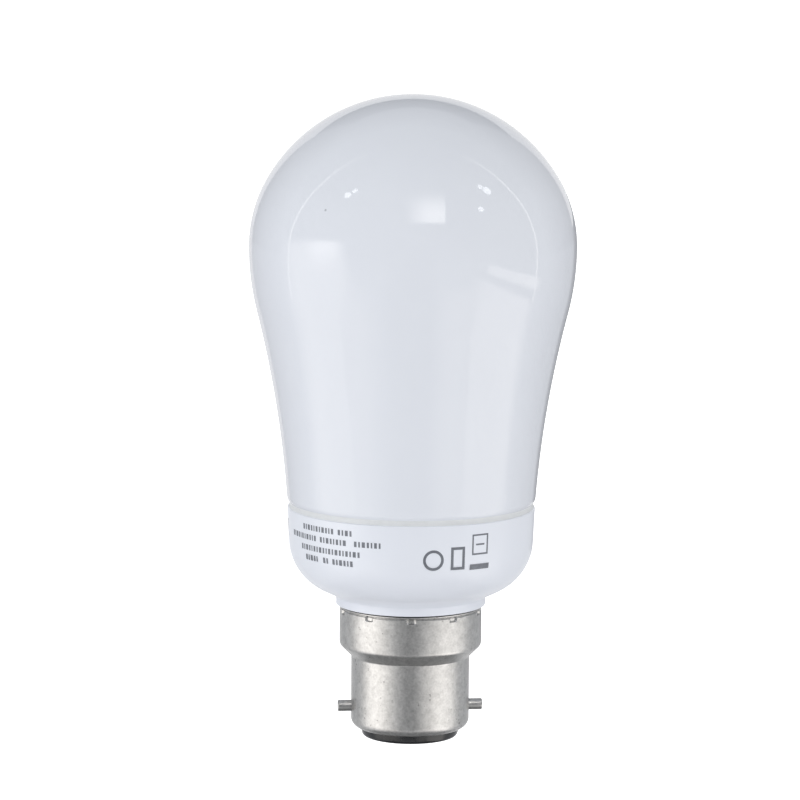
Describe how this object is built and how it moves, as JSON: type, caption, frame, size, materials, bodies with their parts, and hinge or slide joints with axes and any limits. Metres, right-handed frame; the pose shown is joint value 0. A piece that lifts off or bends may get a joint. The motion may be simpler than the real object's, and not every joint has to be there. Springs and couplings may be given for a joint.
{
  "type": "energy saving bulb",
  "caption": "Opal globe lamp with a domed top and tapering waist, on a white ballast housing and a metal bayonet cap with two locking pins and two base contacts.",
  "frame": {"origin": "on the lamp's axis, in the plane of the two base contacts", "axes": "+Z along the lamp's axis from the cap to the top of the glass, +X towards one locking pin, +Y towards one base contact"},
  "size_m": [0.0603, 0.0602, 0.1199],
  "materials": {
    "opal_glass": "glossy, opal white coated inside",
    "cement": "matt",
    "housing_plastic": "satin, moulded",
    "cap_metal": "satin, tinned",
    "pin_metal": "satin, nickel plated",
    "black_glass": "glossy",
    "contact_metal": "satin",
    "solder": "satin",
    "holder_plastic": "matt",
    "plated_wire": "tinned copper",
    "board_laminate": "matt paper laminate",
    "capacitor_sleeve": "shrunk sleeve",
    "ferrite": "matt sintered",
    "bobbin_plastic": "matt",
    "winding_copper": "enamelled copper",
    "moulded_black": "matt",
    "film_capacitor_skin": "dipped",
    "disc_ceramic": "dipped",
    "chip_ceramic": "matt",
    "diode_glass": "glossy",
    "resistor_coat": "matt lacquer"
  },
  "bodies": {
    "root": {"glass_bulb": "opal_glass", "bulb_cement": "cement", "housing": "housing_plastic", "cap_shell": "cap_metal", "locking_pin_1": "pin_metal", "locking_pin_2": "pin_metal", "cap_insulator": "black_glass", "contact_plate_1": "contact_metal", "contact_plate_2": "contact_metal", "contact_solder_1": "solder", "contact_solder_2": "solder", "tube_holder": "holder_plastic", "tube_lead_1": "plated_wire", "tube_lead_2": "plated_wire", "tube_lead_3": "plated_wire", "tube_lead_4": "plated_wire", "circuit_board": "board_laminate", "smoothing_capacitor": "capacitor_sleeve", "choke_core": "ferrite", "choke_bobbin": "bobbin_plastic", "choke_winding": "winding_copper", "ring_core": "ferrite", "ring_winding_1": "winding_copper", "ring_winding_2": "winding_copper", "ring_winding_3": "winding_copper", "filter_core": "ferrite", "filter_winding": "winding_copper", "transistor_1": "moulded_black", "transistor_2": "moulded_black", "starting_capacitor": "film_capacitor_skin", "coupling_capacitor": "film_capacitor_skin", "disc_capacitor": "disc_ceramic", "rectifier_diode_1": "moulded_black", "rectifier_diode_2": "moulded_black", "rectifier_diode_3": "moulded_black", "rectifier_diode_4": "moulded_black", "chip_resistor_1": "chip_ceramic", "chip_resistor_2": "chip_ceramic", "chip_resistor_3": "chip_ceramic", "chip_resistor_4": "chip_ceramic", "trigger_diode": "diode_glass", "fusible_resistor": "resistor_coat", "live_wire": "plated_wire", "neutral_wire": "plated_wire"}
  },
  "joints": []
}
